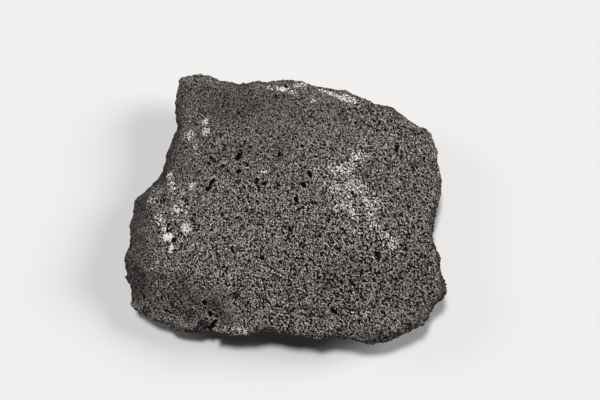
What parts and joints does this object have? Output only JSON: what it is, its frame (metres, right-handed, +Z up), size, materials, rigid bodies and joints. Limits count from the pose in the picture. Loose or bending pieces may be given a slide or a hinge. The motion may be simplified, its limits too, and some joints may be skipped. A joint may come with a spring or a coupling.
{
  "type": "lava rock",
  "caption": "Flat, broken slab of dark grey lava rock, pitted all over by small gas bubbles, with faceted sides and pale mineral crust.",
  "frame": {"origin": "middle of the stone's box, at the height of the surface that it lies on", "axes": "+X along the slab's longest side, +Y towards the straight back edge, +Z up through the slab's thickness"},
  "size_m": [0.1576, 0.1408, 0.0339],
  "materials": {
    "basalt": "rough, pitted"
  },
  "bodies": {
    "root": {"lava_rock": "basalt"}
  },
  "joints": []
}
